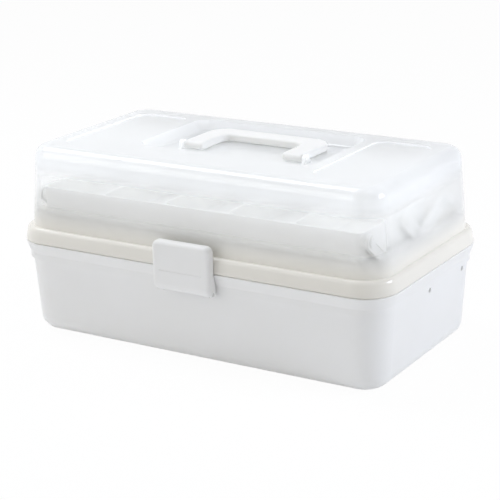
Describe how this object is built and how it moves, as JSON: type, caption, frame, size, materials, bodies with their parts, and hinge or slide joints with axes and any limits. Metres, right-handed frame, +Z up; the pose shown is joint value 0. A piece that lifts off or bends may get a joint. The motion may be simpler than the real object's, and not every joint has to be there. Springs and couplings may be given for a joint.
{
  "type": "art supply box",
  "caption": "White plastic art supply box with a hinged see-through lid, folding carry handle, front latch and cantilever trays that step out on parallel arms as the lid opens.",
  "frame": {"origin": "on the ground under the middle of the box", "axes": "+X along the length to the right, -Y to the front where the latch is, +Z up"},
  "size_m": [0.3296, 0.1942, 0.153],
  "materials": {
    "white_polypropylene": "satin moulded",
    "clear_polypropylene": "frosted, see-through"
  },
  "bodies": {
    "base": {"base_tub": "white_polypropylene", "latch_pin": "white_polypropylene", "hinge_pin_left": "white_polypropylene", "hinge_pin_right": "white_polypropylene", "base_pin_front_left": "white_polypropylene", "base_pin_front_right": "white_polypropylene", "base_pin_rear_left": "white_polypropylene", "base_pin_rear_right": "white_polypropylene"},
    "lid": {"lid_shell": "clear_polypropylene", "handle_pin_left": "white_polypropylene", "handle_pin_right": "white_polypropylene", "lid_link_pin_left": "white_polypropylene", "lid_link_pin_right": "white_polypropylene"},
    "handle": {"carry_handle": "white_polypropylene"},
    "latch": {"front_latch": "white_polypropylene"},
    "front_arms": {"front_arm_left": "white_polypropylene", "front_arm_right": "white_polypropylene"},
    "rear_arms": {"rear_arm_left": "white_polypropylene", "rear_arm_right": "white_polypropylene", "arm_link_pin_left": "white_polypropylene", "arm_link_pin_right": "white_polypropylene"},
    "middle_tray": {"middle_tray": "white_polypropylene", "middle_pin_front_left": "white_polypropylene", "middle_pin_front_right": "white_polypropylene", "middle_pin_rear_left": "white_polypropylene", "middle_pin_rear_right": "white_polypropylene"},
    "upper_tray": {"upper_tray": "white_polypropylene", "upper_pin_front_left": "white_polypropylene", "upper_pin_front_right": "white_polypropylene", "upper_pin_rear_left": "white_polypropylene", "upper_pin_rear_right": "white_polypropylene"},
    "lid_links": {"lid_link_left": "white_polypropylene", "lid_link_right": "white_polypropylene"}
  },
  "joints": [
    {"name": "lid_hinge", "type": "hinge", "parent": "base", "child": "lid", "pos_m": [0, 0.0938, 0.07605], "axis": [-1, 0, 0], "range_deg": [0, 85]},
    {"name": "front_arm_pivot", "type": "hinge", "parent": "base", "child": "front_arms", "pos_m": [0, -0.0018, 0.0584], "axis": [-1, 0, 0], "range_deg": [0, 85]},
    {"name": "rear_arm_pivot", "type": "hinge", "parent": "base", "child": "rear_arms", "pos_m": [0, 0.0567, 0.0584], "axis": [-1, 0, 0], "range_deg": [0, 85]},
    {"name": "middle_tray_pivot", "type": "hinge", "parent": "front_arms", "child": "middle_tray", "pos_m": [0, -0.04097, 0.08931], "axis": [1, 0, 0], "range_deg": [0, 85]},
    {"name": "upper_tray_pivot", "type": "hinge", "parent": "front_arms", "child": "upper_tray", "pos_m": [0, -0.071, 0.11301], "axis": [1, 0, 0], "range_deg": [0, 85]},
    {"name": "lid_link_pivot", "type": "hinge", "parent": "lid", "child": "lid_links", "pos_m": [0, 0.04536, 0.11428], "axis": [1, 0, 0], "range_deg": [0, 85]},
    {"name": "handle_pivot", "type": "hinge", "parent": "lid", "child": "handle", "pos_m": [0, -0.0027, 0.14825], "axis": [1, 0, 0], "range_deg": [0, 90]},
    {"name": "latch_pivot", "type": "hinge", "parent": "base", "child": "latch", "pos_m": [0, -0.0912, 0.0605], "axis": [1, 0, 0], "range_deg": [0, 90]}
  ],
  "couplings": [
    {"joint": "front_arm_pivot", "follows": "lid_hinge", "ratio": 1},
    {"joint": "rear_arm_pivot", "follows": "lid_hinge", "ratio": 1},
    {"joint": "middle_tray_pivot", "follows": "lid_hinge", "ratio": 1},
    {"joint": "upper_tray_pivot", "follows": "lid_hinge", "ratio": 1},
    {"joint": "lid_link_pivot", "follows": "lid_hinge", "ratio": 1}
  ]
}
